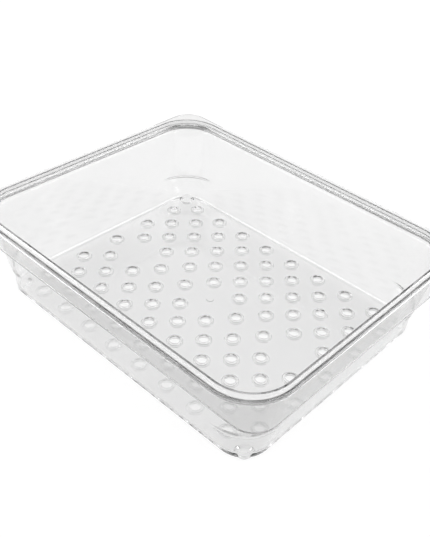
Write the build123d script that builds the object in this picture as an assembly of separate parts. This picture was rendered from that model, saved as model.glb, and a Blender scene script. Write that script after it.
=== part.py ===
from build123d import *
import math
import os

# Half-size perforated food pan, injection-moulded in one shot of clear plastic.
# Every node below is one feature of that moulding; neighbours meet face to face.
# Frame: origin at the centre of the footprint at foot level, +X along the long side, +Z up. Millimetres.

# --- overall -----------------------------------------------------------------------------------
FLANGE_LENGTH = 325.0      # outside of the hanging flange, long side
FLANGE_WIDTH = 265.0       # outside of the hanging flange, short side
FOOT_HEIGHT = 3.6          # floor underside above the table
FLOOR_THICKNESS = 2.4
BASIN_DEPTH = 76.2         # floor surface to lip top
WALL_THICKNESS = 2.6       # measured level, across the wall

FLOOR_UNDER = FOOT_HEIGHT
FLOOR_TOP = FLOOR_UNDER + FLOOR_THICKNESS
LIP_TOP = FLOOR_TOP + BASIN_DEPTH

# --- walls -------------------------------------------------------------------------------------
MOUTH_HALF_X = 148.4       # inside of the lip, centre line to wall
MOUTH_HALF_Y = 118.4
WALL_LEAN = 14.0           # how far each wall leans outward between floor and lip
MOUTH_RADIUS = 32.0        # inside plan radius of the corners at the lip
SHELF_RADIUS = 28.0        # inside plan radius just above the stacking ledge
NECK_RADIUS = 34.5         # inside plan radius just below the stacking ledge
BASE_RADIUS = 20.0         # inside plan radius at floor level
LEDGE_HEIGHT = 23.0        # stacking ledge above the floor surface
LEDGE_THICKNESS = 2.5
COVE_RADIUS = 4.0          # inside fillet, floor to wall
HEEL_RADIUS = 3.0          # outside fillet, wall to underside

# --- rim ---------------------------------------------------------------------------------------
LIP_RISE = 6.2             # lip top above the flange surface
LIP_WIDTH = 2.0            # across the top of the lip
LIP_ROUND = 0.5
FLANGE_RADIUS = 18.0       # plan radius of the flange corners
FLANGE_THICKNESS = 1.8
FLANGE_EDGE_ROUND = 0.5
ROOT_FILLET = 4.0          # fillet between the flange underside and the wall
STEP_FILLET = 4.0          # fillet between the flange surface and the raised lip
RIM_ROOT_DROP = 6.5        # the rim nodes start this far below the flange surface

# --- drain field -------------------------------------------------------------------------------
HOLE_DIAMETER = 8.5
COLLAR_DIAMETER = 13.0
COLLAR_BORE = 10.6         # wider than the hole, so a collar stands clear of it
COLLAR_DROP = 2.0          # collars hang this far below the floor
COLLAR_ROUND = 0.5         # on both lower edges of a collar
HOLE_PITCH = 30.0          # along a row
ROW_STEP = 17.35           # between neighbouring rows
CENTRE_ROW_STEP = 20.3     # between the centre row and its two neighbours
ROWS_EACH_SIDE = 5
LONG_ROW_REACH = 4         # long rows run from -4 to +4 pitches
BLANK_PITCHES = (-3, 0, 3)  # places left unpierced in the centre row

# --- feet and gate -----------------------------------------------------------------------------
FOOT_TOP_DIAMETER = 14.0
FOOT_BOTTOM_DIAMETER = 9.5
FOOT_X = 126.0
FOOT_Y = 95.4
FOOT_ROUND = 0.5
GATE_DIAMETER = 6.0
GATE_HEIGHT = 0.4

FILLET_BANDS = 6           # straight bands that make up one concave fillet

# --- derived -----------------------------------------------------------------------------------
LEDGE_TOP = FLOOR_TOP + LEDGE_HEIGHT
LEDGE_UNDER = LEDGE_TOP - LEDGE_THICKNESS
FLANGE_TOP = LIP_TOP - LIP_RISE
FLANGE_UNDER = FLANGE_TOP - FLANGE_THICKNESS
STEP_TOP = FLANGE_TOP + STEP_FILLET
RIM_ROOT = FLANGE_TOP - RIM_ROOT_DROP
FLAT_HALF_X = MOUTH_HALF_X - WALL_LEAN - COVE_RADIUS   # edge of the level part of the floor
FLAT_HALF_Y = MOUTH_HALF_Y - WALL_LEAN - COVE_RADIUS
FLAT_RADIUS = BASE_RADIUS - COVE_RADIUS
CORNER_X = MOUTH_HALF_X - WALL_LEAN - 31.0             # level planes where the corners begin
CORNER_Y = MOUTH_HALF_Y - WALL_LEAN - 31.0
BEYOND = 200.0                                         # larger than the pan, for cutting regions

SIDES = {"front": (0, -1), "back": (0, 1), "left": (-1, 0), "right": (1, 0)}
CORNERS = {"front_left": (-1, -1), "front_right": (1, -1), "back_left": (-1, 1), "back_right": (1, 1)}


def lean(z):
    """Outward travel of a wall at height z."""
    return WALL_LEAN * (z - FLOOR_TOP) / BASIN_DEPTH


def neck_radius(z):
    """Inside corner radius below the ledge; the corner itself stays upright."""
    return BASE_RADIUS + (NECK_RADIUS - BASE_RADIUS) * (z - FLOOR_TOP) / LEDGE_HEIGHT


def mouth_radius(z):
    """Inside corner radius above the ledge."""
    return SHELF_RADIUS + (MOUTH_RADIUS - SHELF_RADIUS) * (z - LEDGE_TOP) / (LIP_TOP - LEDGE_TOP)


def outline(half_x, half_y, radius, z):
    """Rounded rectangle at height z."""
    return (Plane.XY.offset(z) * RectangleRounded(2 * half_x, 2 * half_y, radius)).face()


def wall_outline(z, radius_at, outset):
    """Plan outline of the wall at height z, moved outward by outset."""
    base_x = MOUTH_HALF_X - WALL_LEAN + lean(z) + outset
    base_y = MOUTH_HALF_Y - WALL_LEAN + lean(z) + outset
    return outline(base_x, base_y, radius_at(z) + outset, z)


def tapered(lower, upper):
    """Straight-sided body between two outlines."""
    return loft([lower, upper], ruled=True)


def box_between(x0, x1, y0, y1, z0, z1):
    """Axis-aligned block from its limits."""
    return Pos((x0 + x1) / 2, (y0 + y1) / 2, (z0 + z1) / 2) * Box(x1 - x0, y1 - y0, z1 - z0)


def edges_at(shape, z):
    """Edges lying wholly at height z."""
    return [e for e in shape.edges()
            if abs(e.bounding_box().min.Z - z) < 1e-4 and abs(e.bounding_box().max.Z - z) < 1e-4]


def outer_body():
    """Solid bounded by the outside of the walls, up to the flange surface."""
    lower = tapered(wall_outline(FLOOR_UNDER, neck_radius, WALL_THICKNESS),
                    wall_outline(LEDGE_UNDER, neck_radius, WALL_THICKNESS))
    lower = fillet(edges_at(lower, FLOOR_UNDER), HEEL_RADIUS)
    upper = tapered(wall_outline(LEDGE_UNDER, mouth_radius, WALL_THICKNESS),
                    wall_outline(FLANGE_TOP, mouth_radius, WALL_THICKNESS))
    return lower, upper


def lip_body():
    """Solid bounded by the outside of the raised lip, which narrows above the fillet."""
    root = tapered(wall_outline(FLANGE_TOP, mouth_radius, WALL_THICKNESS),
                   wall_outline(STEP_TOP, mouth_radius, WALL_THICKNESS))
    lip = tapered(wall_outline(STEP_TOP, mouth_radius, WALL_THICKNESS),
                  wall_outline(LIP_TOP, mouth_radius, LIP_WIDTH))
    return root + fillet(edges_at(lip, LIP_TOP), LIP_ROUND)


def basin_space():
    """Space inside the pan, with the cove along the floor."""
    lower = tapered(wall_outline(FLOOR_TOP, neck_radius, 0.0), wall_outline(LEDGE_TOP, neck_radius, 0.0))
    lower = fillet(edges_at(lower, FLOOR_TOP), COVE_RADIUS)
    upper = tapered(wall_outline(LEDGE_TOP, mouth_radius, 0.0), wall_outline(LIP_TOP, mouth_radius, 0.0))
    mouth = tapered(wall_outline(LIP_TOP - LIP_ROUND, mouth_radius, 0.0),
                    wall_outline(LIP_TOP, mouth_radius, LIP_ROUND))
    return lower, upper, mouth


def flange_plate():
    """Level flange with eased outer edges, before the wall is taken out."""
    underside = outline(FLANGE_LENGTH / 2, FLANGE_WIDTH / 2, FLANGE_RADIUS, FLANGE_UNDER)
    plate = extrude(underside, FLANGE_THICKNESS)
    return fillet(edges_at(plate, FLANGE_TOP) + edges_at(plate, FLANGE_UNDER), FLANGE_EDGE_ROUND)


def concave_strip(level, radius, upward):
    """Fillet strip round the outside of the wall, built in bands, rising or hanging from a level face."""
    bands = []
    for i in range(FILLET_BANDS):
        limits = []
        for angle in (math.radians(90 * i / FILLET_BANDS), math.radians(90 * (i + 1) / FILLET_BANDS)):
            travel = radius * (1 - math.cos(angle))
            z = level + travel if upward else level - travel
            limits.append((z, WALL_THICKNESS + radius * (1 - math.sin(angle))))
        (z0, out0), (z1, out1) = sorted(limits)
        bands.append(tapered(wall_outline(z0, mouth_radius, out0), wall_outline(z1, mouth_radius, out1)))
    return bands[0] + bands[1:]


def drain_positions():
    """Centres of the drain holes, row by row from the back."""
    rows = []
    for row in range(-ROWS_EACH_SIDE, ROWS_EACH_SIDE + 1):
        y = 0.0
        if row:
            y = math.copysign(CENTRE_ROW_STEP + ROW_STEP * (abs(row) - 1), row)
        if row % 2:
            places = [i + 0.5 for i in range(-LONG_ROW_REACH, LONG_ROW_REACH)]
        else:
            places = [float(i) for i in range(-LONG_ROW_REACH, LONG_ROW_REACH + 1)]
        if row == 0:
            places = [p for p in places if p not in BLANK_PITCHES]
        rows.append([(p * HOLE_PITCH, y) for p in places])
    return rows


def floor_blank():
    """Level part of the floor, unpierced."""
    return extrude(outline(FLAT_HALF_X, FLAT_HALF_Y, FLAT_RADIUS, FLOOR_UNDER), FLOOR_THICKNESS)


def floor_panel():
    """Level part of the floor with its drain holes."""
    drills = [Pos(x, y, (FLOOR_UNDER + FLOOR_TOP) / 2) * Cylinder(HOLE_DIAMETER / 2, 2 * FLOOR_THICKNESS)
              for row in drain_positions() for x, y in row]
    return floor_blank() - drills


def drain_collar():
    """Short ring round a hole, under the floor, with a rounded lower edge."""
    ring = Cylinder(COLLAR_DIAMETER / 2, COLLAR_DROP) - Cylinder(COLLAR_BORE / 2, 2 * COLLAR_DROP)
    ring = Pos(0, 0, FLOOR_UNDER - COLLAR_DROP / 2) * ring
    return fillet(edges_at(ring, FLOOR_UNDER - COLLAR_DROP), COLLAR_ROUND)


def foot(sx, sy, body_low):
    """Tapered pad under one corner, grown upward until it meets the heel of the wall."""
    pad = Cone(FOOT_BOTTOM_DIAMETER / 2, FOOT_TOP_DIAMETER / 2, FOOT_HEIGHT,
               align=(Align.CENTER, Align.CENTER, Align.MIN))
    pad = fillet(edges_at(pad, 0.0), FOOT_ROUND)
    pad += Pos(0, 0, FOOT_HEIGHT) * Cylinder(FOOT_TOP_DIAMETER / 2, HEEL_RADIUS,
                                             align=(Align.CENTER, Align.CENTER, Align.MIN))
    return Pos(sx * FOOT_X, sy * FOOT_Y, 0) * pad - body_low


def gate_mark():
    """Small disc left at the centre of the floor by the mould gate."""
    return Pos(0, 0, FLOOR_TOP + GATE_HEIGHT / 2) * Cylinder(GATE_DIAMETER / 2, GATE_HEIGHT)


def side_region(sx, sy, z0, z1):
    """Block that isolates one straight side."""
    if sx:
        return box_between(min(0, sx * BEYOND), max(0, sx * BEYOND), -CORNER_Y, CORNER_Y, z0, z1)
    return box_between(-CORNER_X, CORNER_X, min(0, sy * BEYOND), max(0, sy * BEYOND), z0, z1)


def corner_region(sx, sy, z0, z1):
    """Block that isolates one corner."""
    xs = sorted((sx * CORNER_X, sx * BEYOND))
    ys = sorted((sy * CORNER_Y, sy * BEYOND))
    return box_between(xs[0], xs[1], ys[0], ys[1], z0, z1)


def build_nodes():
    """All nodes by name."""
    body_low, body_high = outer_body()
    space_low, space_high, mouth = basin_space()
    shell = (body_low + body_high) - space_low - space_high - floor_blank()
    lip = (body_high + lip_body()) - space_high - mouth
    rim_band = flange_plate()
    rim_band += concave_strip(FLANGE_TOP, STEP_FILLET, upward=True)
    rim_band += concave_strip(FLANGE_UNDER, ROOT_FILLET, upward=False)
    rim_band = rim_band - body_high - lip_body() - space_high - mouth

    nodes = {"floor_panel": floor_panel()}
    collar = drain_collar()
    collars = [Pos(x, y, 0) * collar for row in drain_positions() for x, y in row]
    nodes["drain_collars"] = Compound(children=collars)
    nodes["gate_mark"] = gate_mark()
    for name, (sx, sy) in SIDES.items():
        nodes["wall_" + name] = shell & side_region(sx, sy, 0, RIM_ROOT)
        nodes["lip_" + name] = lip & side_region(sx, sy, RIM_ROOT, LIP_TOP)
        nodes["flange_" + name] = rim_band & side_region(sx, sy, RIM_ROOT, LIP_TOP)
    for name, (sx, sy) in CORNERS.items():
        nodes["foot_" + name] = foot(sx, sy, body_low)
        nodes["corner_low_" + name] = shell & corner_region(sx, sy, 0, LEDGE_UNDER)
        nodes["stack_ledge_" + name] = shell & corner_region(sx, sy, LEDGE_UNDER, LEDGE_TOP)
        nodes["corner_high_" + name] = shell & corner_region(sx, sy, LEDGE_TOP, RIM_ROOT)
        nodes["lip_corner_" + name] = lip & corner_region(sx, sy, RIM_ROOT, LIP_TOP)
        nodes["flange_corner_" + name] = rim_band & corner_region(sx, sy, RIM_ROOT, LIP_TOP)
    return nodes


def main():
    os.makedirs("parts", exist_ok=True)
    for name, shape in build_nodes().items():
        export_step(shape, "parts/" + name + ".step")


main()
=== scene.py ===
import bpy
import bmesh
import math
from mathutils import Matrix, Vector
from mathutils.geometry import delaunay_2d_cdt

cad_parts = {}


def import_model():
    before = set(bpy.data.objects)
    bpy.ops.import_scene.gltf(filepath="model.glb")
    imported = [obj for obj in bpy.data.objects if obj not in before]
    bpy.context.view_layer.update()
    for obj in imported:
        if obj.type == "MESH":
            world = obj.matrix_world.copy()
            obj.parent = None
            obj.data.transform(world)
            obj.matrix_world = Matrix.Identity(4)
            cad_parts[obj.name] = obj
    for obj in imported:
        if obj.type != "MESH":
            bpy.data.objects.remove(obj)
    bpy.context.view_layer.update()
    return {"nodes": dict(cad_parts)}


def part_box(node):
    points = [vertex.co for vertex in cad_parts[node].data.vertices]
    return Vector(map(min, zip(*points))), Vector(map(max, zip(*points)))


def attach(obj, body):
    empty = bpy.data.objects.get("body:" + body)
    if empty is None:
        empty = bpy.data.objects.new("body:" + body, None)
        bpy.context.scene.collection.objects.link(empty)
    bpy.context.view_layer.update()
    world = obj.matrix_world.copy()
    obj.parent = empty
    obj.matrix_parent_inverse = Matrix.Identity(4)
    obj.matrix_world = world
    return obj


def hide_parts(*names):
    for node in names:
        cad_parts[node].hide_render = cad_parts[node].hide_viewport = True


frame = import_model()
MM = 0.001

# ---------------------------------------------------------------- sizes, in millimetres
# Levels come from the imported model; plan radii and fillets repeat the model's own values.
LIP_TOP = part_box("lip_front")[1].z / MM
FLOOR_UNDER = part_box("floor_panel")[0].z / MM
FLOOR_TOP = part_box("floor_panel")[1].z / MM
LEDGE_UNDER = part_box("stack_ledge_front_left")[0].z / MM
LEDGE_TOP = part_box("stack_ledge_front_left")[1].z / MM
COLLAR_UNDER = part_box("drain_collars")[0].z / MM
GATE_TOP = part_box("gate_mark")[1].z / MM
GATE_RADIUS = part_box("gate_mark")[1].x / MM
FLANGE_HALF_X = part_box("flange_right")[1].x / MM
FLANGE_HALF_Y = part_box("flange_back")[1].y / MM

MOUTH_HALF_X, MOUTH_HALF_Y = 148.4, 118.4
WALL_LEAN = 14.0
WALL = 2.6
LIP_WIDTH = 2.0
LIP_ROUND = 0.5
LIP_RISE = 6.2
MOUTH_RADIUS, SHELF_RADIUS, NECK_RADIUS, BASE_RADIUS = 32.0, 28.0, 34.5, 20.0
COVE, HEEL = 4.0, 3.0
FLANGE_THICKNESS = 1.8
FLANGE_RADIUS = 18.0
EDGE_ROUND = 0.5
STEP_FILLET, ROOT_FILLET = 4.0, 4.0
HOLE_RADIUS, HOLE_EASE = 4.25, 0.2
COLLAR_INNER, COLLAR_OUTER = 5.3, 6.5      # radii of the drip ring under each hole
COLLAR_EASE, COLLAR_ROOT = 0.5, 0.2        # roundings at the ring's lower edges and at its root
HOLE_PITCH, ROW_STEP, CENTRE_ROW_STEP = 30.0, 17.35, 20.3
BLANK_PITCHES = (-3, 0, 3)
FOOT_X, FOOT_Y = 126.0, 95.4
FOOT_TOP_RADIUS, FOOT_BOTTOM_RADIUS, FOOT_ROUND = 7.0, 4.75, 0.5
FOOT_ROOT_SPREAD, FOOT_ROOT_RISE = 0.2, 1.6   # top of a foot, buried in the floor's edge

DEPTH = LIP_TOP - FLOOR_TOP
FLANGE_TOP = LIP_TOP - LIP_RISE
FLANGE_UNDER = FLANGE_TOP - FLANGE_THICKNESS
SLOPE = WALL_LEAN / DEPTH
TILT = math.atan(SLOPE)
BASE_HALF_X = MOUTH_HALF_X - WALL_LEAN
BASE_HALF_Y = MOUTH_HALF_Y - WALL_LEAN

CORNER_SPAN = 38.0        # plan distance from a ring's corner centre to its sides
CORNER_CROWDING = 0.38    # 0 spaces a corner's points evenly, more puts them closer at its middle
CORNER_STEPS = 56
SIDE_STEPS = 8
LOW_WALL_STEPS, HIGH_WALL_STEPS = 4, 8        # below and above the stacking ledge
ROUND_STEPS, COVE_STEPS, HEEL_STEPS = 4, 8, 7
STEP_FILLET_STEPS, ROOT_FILLET_STEPS = 8, 6
HOLE_STEPS, FOOT_STEPS, TABLE_STEPS = 40, 48, 96
HOLE_MARGIN = 0.995       # faces nearer a hole's centre than this share of its radius are left out
WELD, COLLAPSE = 2e-6, 1e-7   # metres: points merged, edges removed
SHARP_DEGREES = 32
NORMAL_WEIGHT = 80        # how far large faces lead the shading of small ones beside them

# ---------------------------------------------------------------- looks
IOR = 1.585
SURFACE_TINT = 0.905      # light kept through two faces, besides reflection
TINT_VARIATION = 0.01
ABSORPTION = 9.0          # per metre of plastic
FLOOR_ROUGHNESS, WALL_ROUGHNESS = 0.02, 0.05
HAZE_VARIATION = 0.3      # share by which the roughness wanders
RIPPLE_STRENGTH = 0.12

TABLE_RADIUS = 2.0        # metres
TABLE_ALBEDO, TABLE_GLOW = 0.15, 0.88
VIEW_SIDE = (0.640, -0.768)   # plan direction from the pan towards the camera
# Panels of the sky: turn away from the camera side (low, high), elevation (low, high), strength.
SKY_PANELS = (
    (45, 135, 24, 48, 4.4),       # softboxes, left and right
    (45, 135, 2, 24, 0.9),        # the walls under them
    (135, 200, 15, 38, 0.8),      # wall behind the pan
    (135, 200, 38, 60, 0.5),
    (-10, 45, 35, 60, 1.0),       # over the camera
    (-10, 45, 60, 95, 0.5),
)
PANEL_SOFTNESS = 4.0      # degrees

CAMERA_PLACE = Vector((0.32871, -0.35768, 0.40933 + FLOOR_TOP * MM))
CAMERA_RIGHT = Vector((0.73454, 0.67572, 0.06208))
CAMERA_BACK = Vector((0.50759, -0.60788, 0.61060))
SENSOR, LENS, LENS_SHIFT = 36.0, 50.6, -0.0466
BOUNCES = 64              # light runs a long way inside the walls before it gets out


# ---------------------------------------------------------------- profile of the moulding
def neck_radius(z):
    """Plan corner radius of the inner wall below the stacking ledge."""
    return BASE_RADIUS + (NECK_RADIUS - BASE_RADIUS) * (z - FLOOR_TOP) / (LEDGE_TOP - FLOOR_TOP)


def mouth_radius(z):
    """Plan corner radius of the inner wall above the stacking ledge."""
    return SHELF_RADIUS + (MOUTH_RADIUS - SHELF_RADIUS) * (z - LEDGE_TOP) / (LIP_TOP - LEDGE_TOP)


def on_wall(z, radius_at, outset):
    """Ring (half x, half y, plan radius, z) lying outset outside the inner wall surface."""
    lean = SLOPE * (z - FLOOR_TOP)
    return (BASE_HALF_X + lean + outset, BASE_HALF_Y + lean + outset, radius_at(z) + outset, z)


def by_reach(reach, z, radius_at):
    """Ring whose side stands at reach beyond the wall line at floor level."""
    return on_wall(z, radius_at, reach - SLOPE * (z - FLOOR_TOP))


def spread(a, b, steps):
    """Evenly spaced values from a to b, both included."""
    return [a + (b - a) * i / steps for i in range(steps + 1)]


def profile():
    """Rings from the edge of the floor's top face, over the rim, to the edge of its underside."""
    rings = []
    centre = COVE * (SLOPE * (1 - math.sin(TILT)) - math.cos(TILT))
    for a in spread(-math.pi / 2, -TILT, COVE_STEPS):
        rings.append(by_reach(centre + COVE * math.cos(a), FLOOR_TOP + COVE * (1 + math.sin(a)), neck_radius))
    cove_top = rings[-1][3]
    for z in spread(cove_top, LEDGE_TOP, LOW_WALL_STEPS)[1:]:
        rings.append(on_wall(z, neck_radius, 0))
    for z in spread(LEDGE_TOP, LIP_TOP - LIP_ROUND, HIGH_WALL_STEPS):
        rings.append(on_wall(z, mouth_radius, 0))
    for a in spread(math.pi, math.pi / 2, ROUND_STEPS)[1:]:
        z = LIP_TOP - LIP_ROUND * (1 - math.sin(a))
        rings.append(on_wall(z, mouth_radius, LIP_ROUND * (1 + math.cos(a))))
    for a in spread(math.pi / 2, 0, ROUND_STEPS):
        z = LIP_TOP - LIP_ROUND * (1 - math.sin(a))
        rings.append(on_wall(z, mouth_radius, LIP_WIDTH - LIP_ROUND * (1 - math.cos(a))))
    for a in spread(math.pi / 2, 0, STEP_FILLET_STEPS):
        z = FLANGE_TOP + STEP_FILLET * (1 - math.cos(a))
        rings.append(on_wall(z, mouth_radius, WALL + STEP_FILLET * (1 - math.sin(a))))
    for a in spread(math.pi / 2, 0, ROUND_STEPS):
        z = FLANGE_TOP - EDGE_ROUND * (1 - math.sin(a))
        rings.append(flange_ring(EDGE_ROUND * (1 - math.cos(a)), z))
    for a in spread(0, -math.pi / 2, ROUND_STEPS):
        z = FLANGE_UNDER + EDGE_ROUND * (1 + math.sin(a))
        rings.append(flange_ring(EDGE_ROUND * (1 - math.cos(a)), z))
    for a in spread(0, math.pi / 2, ROOT_FILLET_STEPS):
        z = FLANGE_UNDER - ROOT_FILLET * (1 - math.cos(a))
        rings.append(on_wall(z, mouth_radius, WALL + ROOT_FILLET * (1 - math.sin(a))))
    for z in spread(FLANGE_UNDER - ROOT_FILLET, LEDGE_UNDER, HIGH_WALL_STEPS)[1:]:
        rings.append(on_wall(z, mouth_radius, WALL))
    centre = WALL + SLOPE * (HEEL * (1 - math.sin(TILT)) - (FLOOR_TOP - FLOOR_UNDER)) - HEEL * math.cos(TILT)
    heel = [by_reach(centre + HEEL * math.cos(a), FLOOR_UNDER + HEEL * (1 + math.sin(a)), neck_radius)
            for a in spread(-TILT, -math.pi / 2, HEEL_STEPS)]
    for z in spread(LEDGE_UNDER, heel[0][3], LOW_WALL_STEPS)[:-1]:
        rings.append(on_wall(z, neck_radius, WALL))
    return rings + heel


def flange_ring(inset, z):
    """Ring lying inset inside the flange's upright edge."""
    return (FLANGE_HALF_X - inset, FLANGE_HALF_Y - inset, FLANGE_RADIUS - inset, z)


def ring_points(ring):
    """Plan points of a rounded rectangle, anticlockwise, at the same stations on every ring."""
    half_x, half_y, radius, z = ring
    corner = []
    for i in range(CORNER_STEPS + 1):
        s = 2.0 * i / CORNER_STEPS - 1
        angle = math.radians(45 + 45 * s * (1 - CORNER_CROWDING + CORNER_CROWDING * s * s))
        c, d = math.cos(angle), math.sin(angle)
        flat = CORNER_SPAN - radius
        if d * CORNER_SPAN <= c * flat:
            corner.append((CORNER_SPAN, CORNER_SPAN * d / c))
        elif c * CORNER_SPAN <= d * flat:
            corner.append((CORNER_SPAN * c / d, CORNER_SPAN))
        else:
            along = flat * (c + d)
            t = along + math.sqrt(max(0.0, along * along - 2 * flat * flat + radius * radius))
            corner.append((t * c, t * d))
    cx, cy = half_x - CORNER_SPAN, half_y - CORNER_SPAN
    points = []
    for side_x, side_y, c, s in ((1, 1, 1, 0), (-1, 1, 0, 1), (-1, -1, -1, 0), (1, -1, 0, -1)):
        turned = [(side_x * cx + c * x - s * y, side_y * cy + s * x + c * y) for x, y in corner]
        if points:
            points += between(points[-1], turned[0])
        points += turned
    points += between(points[-1], points[0])
    return [Vector((x, y, z)) for x, y in points]


def between(a, b):
    """Points along a straight side, without its two ends."""
    return [(a[0] + (b[0] - a[0]) * i / SIDE_STEPS, a[1] + (b[1] - a[1]) * i / SIDE_STEPS)
            for i in range(1, SIDE_STEPS)]


def hole_places():
    """Centres of the drain holes: rows of 8 and 9 in turn, three places of the middle row blank."""
    places = []
    for row in range(-5, 6):
        y = 0.0 if row == 0 else math.copysign(CENTRE_ROW_STEP + ROW_STEP * (abs(row) - 1), row)
        across = [i + 0.5 for i in range(-4, 4)] if row % 2 else list(range(-4, 5))
        for p in across:
            if row or p not in BLANK_PITCHES:
                places.append((p * HOLE_PITCH, y))
    return places


def hole_profile():
    """(radius, z) rings down a drain hole and over its drip ring, top face to underside."""
    quarter = spread(0, math.pi / 2, ROUND_STEPS)
    rings = [(HOLE_RADIUS + HOLE_EASE * (1 - math.sin(a)), FLOOR_TOP - HOLE_EASE * (1 - math.cos(a)))
             for a in quarter]
    rings += [(HOLE_RADIUS + COLLAR_ROOT * (1 - math.cos(a)), FLOOR_UNDER + COLLAR_ROOT * (1 - math.sin(a)))
              for a in quarter]
    rings += [(COLLAR_INNER - COLLAR_ROOT * (1 - math.sin(a)), FLOOR_UNDER - COLLAR_ROOT * (1 - math.cos(a)))
              for a in quarter]
    rings += [(COLLAR_INNER + COLLAR_EASE * (1 - math.cos(a)), COLLAR_UNDER + COLLAR_EASE * (1 - math.sin(a)))
              for a in quarter]
    rings += [(COLLAR_OUTER - COLLAR_EASE * (1 - math.sin(a)), COLLAR_UNDER + COLLAR_EASE * (1 - math.cos(a)))
              for a in quarter]
    rings += [(COLLAR_OUTER + COLLAR_ROOT * (1 - math.cos(a)), FLOOR_UNDER - COLLAR_ROOT * (1 - math.sin(a)))
              for a in quarter]
    return rings


def gate_profile():
    """(radius, z) rings of the low disc at the mould gate, with a softened foot and edge."""
    return [(GATE_RADIUS + 0.3, FLOOR_TOP), (GATE_RADIUS + 0.1, FLOOR_TOP + 0.04),
            (GATE_RADIUS - 0.1, GATE_TOP - 0.05), (GATE_RADIUS - 0.4, GATE_TOP)]


# ---------------------------------------------------------------- mesh assembly
class Surface:
    """Points and faces gathered before they become one mesh."""

    def __init__(self):
        self.points = []
        self.faces = []

    def add(self, points):
        first = len(self.points)
        self.points += points
        return list(range(first, len(self.points)))

    def bridge(self, a, b):
        n = len(a)
        for i in range(n):
            j = (i + 1) % n
            self.faces.append((a[i], a[j], b[j], b[i]))

    def level_face(self, outer, holes, z, upward):
        """Flat face at height z between one outer loop and round holes given as (loop, centre, radius)."""
        loops = [outer] + [h[0] for h in holes]
        flat, edges, source = [], [], []
        for loop in loops:
            first = len(flat)
            flat += [self.points[i].to_2d() for i in loop]
            source += loop
            edges += [(first + i, first + (i + 1) % len(loop)) for i in range(len(loop))]
        out = delaunay_2d_cdt(flat, edges, [list(range(len(outer)))], 1, 1e-7)
        index = []
        for point, originals in zip(out[0], out[3]):
            if originals:
                index.append(source[originals[0]])
            else:
                index += self.add([Vector((point.x, point.y, z))])
        for face in out[2]:
            middle = sum((out[0][i] for i in face), Vector((0, 0))) / len(face)
            if any((middle - centre).length < radius * HOLE_MARGIN for _, centre, radius in holes):
                continue
            corners = [index[i] for i in face]
            a, b, c = (self.points[i].to_2d() for i in corners[:3])
            turn = (b - a).cross(c - a)
            self.faces.append(tuple(corners if (turn > 0) == upward else corners[::-1]))


def circle(x, y, radius, z, steps=HOLE_STEPS):
    return [Vector((x + radius * math.cos(2 * math.pi * i / steps),
                    y + radius * math.sin(2 * math.pi * i / steps), z)) for i in range(steps)]


def moulding_surface():
    """Skin of the pan without its feet: walls and rim, holes with drip rings, gate mark."""
    skin = Surface()
    loops = [skin.add(ring_points(r)) for r in profile()]
    for a, b in zip(loops, loops[1:]):
        skin.bridge(a, b)
    top_holes, under_holes = [], []
    rings = hole_profile()
    for x, y in hole_places():
        tube = [skin.add(circle(x, y, r, z)) for r, z in rings]
        for a, b in zip(tube, tube[1:]):
            skin.bridge(b, a)
        top_holes.append((tube[0], Vector((x, y)), rings[0][0]))
        under_holes.append((tube[-1], Vector((x, y)), rings[-1][0]))
    gate_rings = gate_profile()
    gate = [skin.add(circle(0, 0, r, z)) for r, z in gate_rings]
    for a, b in zip(gate, gate[1:]):
        skin.bridge(a, b)
    skin.faces.append(tuple(gate[-1]))
    top_holes.append((gate[0], Vector((0, 0)), gate_rings[0][0]))
    skin.level_face(loops[0], top_holes, FLOOR_TOP, True)
    skin.level_face(loops[-1], under_holes, FLOOR_UNDER, False)
    return skin


def to_mesh(name, skin):
    """Mesh in metres, with shared points merged and the faces turned outward."""
    mesh = bpy.data.meshes.new(name)
    mesh.from_pydata([p * MM for p in skin.points], [], skin.faces)
    bm = bmesh.new()
    bm.from_mesh(mesh)
    bmesh.ops.remove_doubles(bm, verts=bm.verts, dist=WELD)
    bmesh.ops.dissolve_degenerate(bm, edges=bm.edges, dist=COLLAPSE)
    loose = [v for v in bm.verts if not v.link_faces]
    bmesh.ops.delete(bm, geom=loose, context="VERTS")
    bmesh.ops.recalc_face_normals(bm, faces=bm.faces)
    bm.to_mesh(mesh)
    bm.free()
    return mesh


def foot_object(sx, sy):
    """Tapered round pad that runs up into the heel of the corner."""
    rings = [(FOOT_BOTTOM_RADIUS - FOOT_ROUND * (1 - math.sin(a)), FOOT_ROUND * (1 - math.cos(a)))
             for a in spread(0, math.pi / 2, ROUND_STEPS)]
    rings += [(FOOT_TOP_RADIUS, FLOOR_UNDER),
              (FOOT_TOP_RADIUS + FOOT_ROOT_SPREAD, FLOOR_UNDER + FOOT_ROOT_RISE)]
    skin = Surface()
    tube = [skin.add(circle(sx * FOOT_X, sy * FOOT_Y, r, z, FOOT_STEPS)) for r, z in rings]
    for a, b in zip(tube, tube[1:]):
        skin.bridge(a, b)
    skin.faces.append(tuple(tube[0][::-1]))
    skin.faces.append(tuple(tube[-1]))
    obj = bpy.data.objects.new("foot_cutter", to_mesh("foot_cutter", skin))
    bpy.context.scene.collection.objects.link(obj)
    return obj


def apply_modifiers(obj):
    bpy.context.view_layer.update()
    graph = bpy.context.evaluated_depsgraph_get()
    mesh = bpy.data.meshes.new_from_object(obj.evaluated_get(graph))
    obj.modifiers.clear()
    obj.data = mesh


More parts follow.
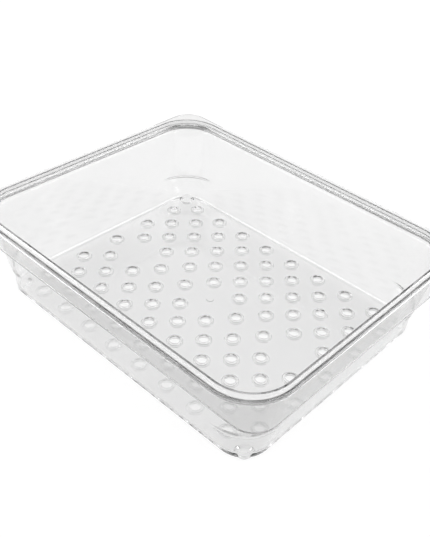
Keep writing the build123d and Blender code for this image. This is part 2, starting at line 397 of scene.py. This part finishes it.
def build_pan():
    """The whole moulding as one closed mesh, feet joined on, shaded smooth."""
    pan = bpy.data.objects.new("pan_moulding", to_mesh("pan_moulding", moulding_surface()))
    bpy.context.scene.collection.objects.link(pan)
    for sx in (-1, 1):
        for sy in (-1, 1):
            pad = foot_object(sx, sy)
            union = pan.modifiers.new("foot", "BOOLEAN")
            union.operation = "UNION"
            union.solver = "EXACT"
            union.object = pad
            apply_modifiers(pan)
            bpy.data.objects.remove(pad)
    for face in pan.data.polygons:
        face.use_smooth = True
    pan.data.set_sharp_from_angle(angle=math.radians(SHARP_DEGREES))
    weight = pan.modifiers.new("normals", "WEIGHTED_NORMAL")
    weight.mode = "FACE_AREA"
    weight.weight = NORMAL_WEIGHT
    weight.keep_sharp = True
    apply_modifiers(pan)
    return pan


# ---------------------------------------------------------------- material
def clear_plastic():
    """Clear polycarbonate: bright floor, satin walls, faint moulding ripple and a little absorption."""
    mat = bpy.data.materials.new("clear_polycarbonate")
    mat.use_nodes = True
    nodes, links = mat.node_tree.nodes, mat.node_tree.links
    shader = nodes["Principled BSDF"]
    shader.inputs["Transmission Weight"].default_value = 1.0
    shader.inputs["IOR"].default_value = IOR
    where = nodes.new("ShaderNodeTexCoord")

    tint = nodes.new("ShaderNodeTexNoise")
    tint.inputs["Scale"].default_value = 14.0
    tint.inputs["Detail"].default_value = 2.0
    tint_ramp = nodes.new("ShaderNodeValToRGB")
    tint_ramp.color_ramp.elements[0].position = 0.3
    tint_ramp.color_ramp.elements[0].color = (*[SURFACE_TINT - TINT_VARIATION] * 3, 1)
    tint_ramp.color_ramp.elements[1].position = 0.7
    tint_ramp.color_ramp.elements[1].color = (*[SURFACE_TINT + TINT_VARIATION] * 3, 1)
    links.new(where.outputs["Object"], tint.inputs["Vector"])
    links.new(tint.outputs["Fac"], tint_ramp.inputs["Fac"])
    links.new(tint_ramp.outputs["Color"], shader.inputs["Base Color"])

    height = nodes.new("ShaderNodeSeparateXYZ")
    links.new(where.outputs["Object"], height.inputs["Vector"])
    satin = nodes.new("ShaderNodeMapRange")
    satin.inputs["From Min"].default_value = (FLOOR_TOP + 1.0) * MM
    satin.inputs["From Max"].default_value = (FLOOR_TOP + COVE + 3.0) * MM
    satin.inputs["To Min"].default_value = FLOOR_ROUGHNESS
    satin.inputs["To Max"].default_value = WALL_ROUGHNESS
    links.new(height.outputs["Z"], satin.inputs["Value"])
    haze = nodes.new("ShaderNodeTexNoise")
    haze.inputs["Scale"].default_value = 60.0
    haze.inputs["Detail"].default_value = 4.0
    haze_range = nodes.new("ShaderNodeMapRange")
    haze_range.inputs["From Min"].default_value = 0.3
    haze_range.inputs["From Max"].default_value = 0.75
    haze_range.inputs["To Min"].default_value = 1 - HAZE_VARIATION
    haze_range.inputs["To Max"].default_value = 1 + HAZE_VARIATION
    rough = nodes.new("ShaderNodeMath")
    rough.operation = "MULTIPLY"
    links.new(where.outputs["Object"], haze.inputs["Vector"])
    links.new(haze.outputs["Fac"], haze_range.inputs["Value"])
    links.new(satin.outputs["Result"], rough.inputs[0])
    links.new(haze_range.outputs["Result"], rough.inputs[1])
    links.new(rough.outputs["Value"], shader.inputs["Roughness"])

    ripple = nodes.new("ShaderNodeTexNoise")
    ripple.inputs["Scale"].default_value = 22.0
    ripple.inputs["Detail"].default_value = 1.5
    bump = nodes.new("ShaderNodeBump")
    bump.inputs["Strength"].default_value = RIPPLE_STRENGTH
    bump.inputs["Distance"].default_value = 0.001
    links.new(where.outputs["Object"], ripple.inputs["Vector"])
    links.new(ripple.outputs["Fac"], bump.inputs["Height"])
    links.new(bump.outputs["Normal"], shader.inputs["Normal"])

    inside = nodes.new("ShaderNodeVolumeAbsorption")
    inside.inputs["Color"].default_value = (0, 0, 0, 1)
    inside.inputs["Density"].default_value = ABSORPTION
    links.new(inside.outputs["Volume"], nodes["Material Output"].inputs["Volume"])
    return mat


# ---------------------------------------------------------------- stage
def stage():
    """White table under the pan, mostly its own glow, so that it stays even."""
    mesh = bpy.data.meshes.new("studio_floor")
    rim = circle(0, 0, TABLE_RADIUS / MM, 0, TABLE_STEPS)
    mesh.from_pydata([p * MM for p in rim], [], [tuple(range(len(rim)))])
    floor = bpy.data.objects.new("studio_floor", mesh)
    bpy.context.scene.collection.objects.link(floor)
    mat = bpy.data.materials.new("white_sweep")
    mat.use_nodes = True
    shader = mat.node_tree.nodes["Principled BSDF"]
    shader.inputs["Base Color"].default_value = (*[TABLE_ALBEDO] * 3, 1)
    shader.inputs["Roughness"].default_value = 0.9
    shader.inputs["Specular IOR Level"].default_value = 0.0
    shader.inputs["Emission Color"].default_value = (1, 1, 1, 1)
    shader.inputs["Emission Strength"].default_value = TABLE_GLOW
    floor.data.materials.append(mat)


class WorldNodes:
    """Small helper that writes a sky as arithmetic on the view direction."""

    def __init__(self, tree):
        self.nodes, self.links = tree.nodes, tree.links

    def math(self, operation, *values):
        node = self.nodes.new("ShaderNodeMath")
        node.operation = operation
        for socket, value in zip(node.inputs, values):
            if isinstance(value, (int, float)):
                socket.default_value = value
            else:
                self.links.new(value, socket)
        return node.outputs[0]

    def step(self, value, edge, soft):
        node = self.nodes.new("ShaderNodeMapRange")
        node.interpolation_type = "SMOOTHSTEP"
        node.inputs["From Min"].default_value = edge - soft
        node.inputs["From Max"].default_value = edge + soft
        self.links.new(value, node.inputs["Value"])
        return node.outputs[0]

    def band(self, value, low, high, soft=PANEL_SOFTNESS):
        """1 between low and high degrees, with soft edges."""
        return self.math("SUBTRACT", self.step(value, low, soft), self.step(value, high, soft))


def world():
    """Softboxes left and right, a dim wall behind the pan and weak light over the camera.

    Camera rays that miss everything see plain white.
    """
    w = bpy.data.worlds.new("studio")
    bpy.context.scene.world = w
    w.use_nodes = True
    sky = WorldNodes(w.node_tree)
    nodes, links = sky.nodes, sky.links
    where = nodes.new("ShaderNodeTexCoord")
    split = nodes.new("ShaderNodeSeparateXYZ")
    links.new(where.outputs["Generated"], split.inputs["Vector"])
    x, y, z = split.outputs
    ahead_x, ahead_y = VIEW_SIDE
    degrees = 180 / math.pi
    elevation = sky.math("MULTIPLY", sky.math("ARCSINE", z), degrees)
    ahead = sky.math("ADD", sky.math("MULTIPLY", x, ahead_x), sky.math("MULTIPLY", y, ahead_y))
    aside = sky.math("SUBTRACT", sky.math("MULTIPLY", y, ahead_x), sky.math("MULTIPLY", x, ahead_y))
    turn = sky.math("ABSOLUTE", sky.math("MULTIPLY", sky.math("ARCTAN2", aside, ahead), degrees))
    total = None
    for turn_low, turn_high, low, high, strength in SKY_PANELS:
        panel = sky.math("MULTIPLY", sky.band(turn, turn_low, turn_high), sky.band(elevation, low, high))
        panel = sky.math("MULTIPLY", panel, strength)
        total = panel if total is None else sky.math("ADD", total, panel)
    path = nodes.new("ShaderNodeLightPath")
    seen = nodes.new("ShaderNodeMix")
    seen.data_type = "FLOAT"
    links.new(path.outputs["Is Camera Ray"], seen.inputs[0])
    links.new(total, seen.inputs[2])
    seen.inputs[3].default_value = 1.0
    links.new(seen.outputs[0], nodes["Background"].inputs["Strength"])
    nodes["Background"].inputs["Color"].default_value = (1, 1, 1, 1)


def camera():
    """Three-quarter view from above the front right corner, rolled a little."""
    data = bpy.data.cameras.new("camera")
    cam = bpy.data.objects.new("camera", data)
    bpy.context.scene.collection.objects.link(cam)
    right = CAMERA_RIGHT.normalized()
    back = (CAMERA_BACK - right * CAMERA_BACK.dot(right)).normalized()
    up = back.cross(right)
    turn = Matrix((right, up, back)).transposed()
    cam.matrix_world = Matrix.Translation(CAMERA_PLACE) @ turn.to_4x4()
    data.sensor_width = SENSOR
    data.lens = LENS
    data.shift_x = LENS_SHIFT
    data.clip_start = 0.01
    data.dof.use_dof = False
    bpy.context.scene.camera = cam


pan = build_pan()
pan.data.materials.clear()
pan.data.materials.append(clear_plastic())
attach(pan, "root")
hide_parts(*frame["nodes"])

stage()
world()
camera()

scene = bpy.context.scene
scene.view_settings.view_transform = "Standard"
scene.cycles.use_denoising = True
scene.cycles.max_bounces = BOUNCES
scene.cycles.transmission_bounces = BOUNCES
scene.cycles.glossy_bounces = BOUNCES
scene.cycles.transparent_max_bounces = 16
